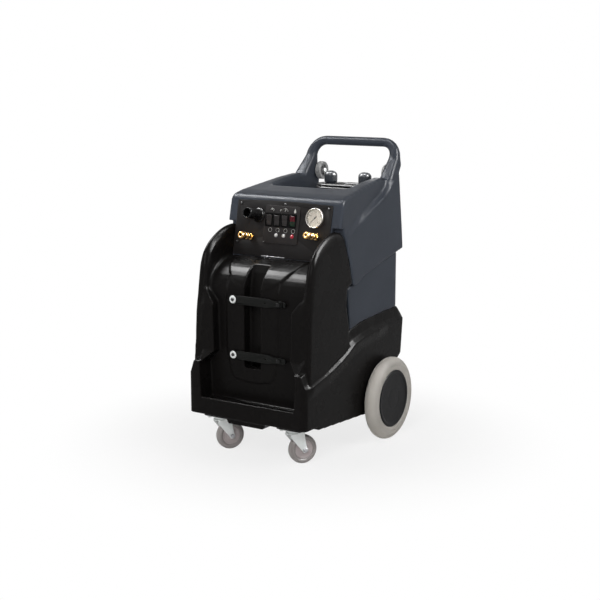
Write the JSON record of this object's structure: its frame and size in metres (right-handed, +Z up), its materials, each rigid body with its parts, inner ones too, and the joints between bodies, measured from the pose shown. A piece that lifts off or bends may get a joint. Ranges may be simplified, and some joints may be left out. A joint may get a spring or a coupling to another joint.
{
  "type": "portable carpet extractor",
  "caption": "Upright wheeled carpet extractor: recessed moulded base, tilted control panel, tank with a looped push handle, and a cord wound on hooks.",
  "frame": {"origin": "floor, under the middle of the machine's box without its free cord", "axes": "+X to the right of the control panel as it is read; -Y is the front, with the control panel and the casters; +Z up"},
  "size_m": [0.601, 0.788, 1.0905],
  "materials": {
    "black_plastic": "textured moulded",
    "grey_plastic": "textured moulded",
    "panel_black": "fine texture",
    "plate_black": "satin",
    "switch_black": "gloss",
    "switch_red": "gloss translucent",
    "lens_white": "gloss",
    "lens_red": "gloss",
    "gauge_metal": "polished",
    "dial_white": "matte",
    "black_steel": "satin",
    "gauge_glass": "clear",
    "port_black": "satin",
    "brass": "machined",
    "strap_rubber": "matte",
    "zinc_steel": "zinc plated",
    "caster_rubber": "satin",
    "axle_steel": "bright",
    "hub_black": "satin",
    "grey_tyre": "matte",
    "cord_black": "satin",
    "motor_metal": "cast",
    "motor_black": "satin"
  },
  "bodies": {
    "machine": {"base_tank": "black_plastic", "lower_housing": "grey_plastic", "upper_tank": "grey_plastic", "control_panel": "panel_black", "panel_screws": "black_steel", "switch_plate": "plate_black", "switch_bodies": "switch_black", "indicator_lenses": "lens_white", "warning_lens": "lens_red", "gauge_case": "gauge_metal", "gauge_dial": "dial_white", "gauge_glass": "gauge_glass", "vacuum_port": "port_black", "coupler_left": "brass", "coupler_right": "brass", "strap_upper": "strap_rubber", "strap_lower": "strap_rubber", "strap_screws": "zinc_steel", "strap_hooks": "port_black", "caster_plates": "zinc_steel", "axle_brackets": "black_steel", "rear_axle": "axle_steel", "load_bolts": "zinc_steel", "cord_hooks": "grey_plastic", "cord_winding": "cord_black", "cord_lead": "cord_black", "cord_tail": "cord_black", "plug": "cord_black", "strain_relief": "port_black", "vacuum_motor": "motor_metal", "pump_motor": "motor_black", "pump_head": "motor_metal"},
    "caster_fork_left_body": {"caster_fork_left": "zinc_steel", "caster_bolts_left": "zinc_steel"},
    "caster_wheel_left_body": {"caster_wheel_left": "caster_rubber"},
    "caster_fork_right_body": {"caster_fork_right": "zinc_steel", "caster_bolts_right": "zinc_steel"},
    "caster_wheel_right_body": {"caster_wheel_right": "caster_rubber"},
    "rear_wheel_left": {"rear_rim_left": "hub_black", "rear_tyre_left": "grey_tyre", "hub_cap_left": "hub_black"},
    "rear_wheel_right": {"rear_rim_right": "hub_black", "rear_tyre_right": "grey_tyre", "hub_cap_right": "hub_black"},
    "loading_wheel_left": {"load_hub_left": "hub_black", "load_tyre_left": "grey_tyre"},
    "loading_wheel_right": {"load_hub_right": "hub_black", "load_tyre_right": "grey_tyre"},
    "switch_1": {"rocker_1": "switch_black"},
    "switch_2": {"rocker_2": "switch_black"},
    "switch_3": {"rocker_3": "switch_black"},
    "switch_4": {"rocker_4": "switch_red"},
    "needle": {"gauge_needle": "black_steel"},
    "left_sleeve": {"coupler_left_sleeve": "brass"},
    "right_sleeve": {"coupler_right_sleeve": "brass"},
    "lid": {"fill_cap": "port_black"}
  },
  "joints": [
    {"name": "caster_left_swivel", "type": "hinge", "parent": "machine", "child": "caster_fork_left_body", "pos_m": [-0.155, -0.3115, 0.115], "axis": [0, 0, 1], "continuous": true},
    {"name": "caster_left_roll", "type": "hinge", "parent": "caster_fork_left_body", "child": "caster_wheel_left_body", "pos_m": [-0.139, -0.28379, 0.051], "axis": [0.866, -0.5, 0], "continuous": true},
    {"name": "caster_right_swivel", "type": "hinge", "parent": "machine", "child": "caster_fork_right_body", "pos_m": [0.155, -0.3115, 0.115], "axis": [0, 0, 1], "continuous": true},
    {"name": "caster_right_roll", "type": "hinge", "parent": "caster_fork_right_body", "child": "caster_wheel_right_body", "pos_m": [0.171, -0.28379, 0.051], "axis": [0.866, -0.5, 0], "continuous": true},
    {"name": "rear_left_roll", "type": "hinge", "parent": "machine", "child": "rear_wheel_left", "pos_m": [-0.262, 0.14, 0.1524], "axis": [1, 0, 0], "continuous": true},
    {"name": "rear_right_roll", "type": "hinge", "parent": "machine", "child": "rear_wheel_right", "pos_m": [0.262, 0.14, 0.1524], "axis": [1, 0, 0], "continuous": true},
    {"name": "loading_left_roll", "type": "hinge", "parent": "machine", "child": "loading_wheel_left", "pos_m": [-0.146, 0.346, 0.957], "axis": [1, 0, 0], "continuous": true},
    {"name": "loading_right_roll", "type": "hinge", "parent": "machine", "child": "loading_wheel_right", "pos_m": [0.146, 0.346, 0.957], "axis": [1, 0, 0], "continuous": true},
    {"name": "switch_1_tip", "type": "hinge", "parent": "machine", "child": "switch_1", "pos_m": [-0.056, -0.14612, 0.82], "axis": [1, 0, 0], "range_deg": [-20, 0]},
    {"name": "switch_2_tip", "type": "hinge", "parent": "machine", "child": "switch_2", "pos_m": [-0.023, -0.14612, 0.82], "axis": [1, 0, 0], "range_deg": [-20, 0]},
    {"name": "switch_3_tip", "type": "hinge", "parent": "machine", "child": "switch_3", "pos_m": [0.01, -0.14612, 0.82], "axis": [1, 0, 0], "range_deg": [-20, 0]},
    {"name": "switch_4_tip", "type": "hinge", "parent": "machine", "child": "switch_4", "pos_m": [0.043, -0.14612, 0.82], "axis": [1, 0, 0], "range_deg": [-20, 0]},
    {"name": "needle_turn", "type": "hinge", "parent": "machine", "child": "needle", "pos_m": [0.133, -0.14601, 0.83735], "axis": [0, -0.9781, 0.2079], "range_deg": [-270, 0], "stiffness_Nm_per_rad": 0.0005},
    {"name": "left_sleeve_pull", "type": "slide", "parent": "machine", "child": "left_sleeve", "axis": [0, 0.9781, -0.2079], "range_m": [0, 0.005], "stiffness_N_per_m": 600},
    {"name": "right_sleeve_pull", "type": "slide", "parent": "machine", "child": "right_sleeve", "axis": [0, 0.9781, -0.2079], "range_m": [0, 0.005], "stiffness_N_per_m": 600},
    {"name": "lid_lift", "type": "slide", "parent": "machine", "child": "lid", "axis": [0, 0, 1], "range_m": [0, 0.06]}
  ]
}
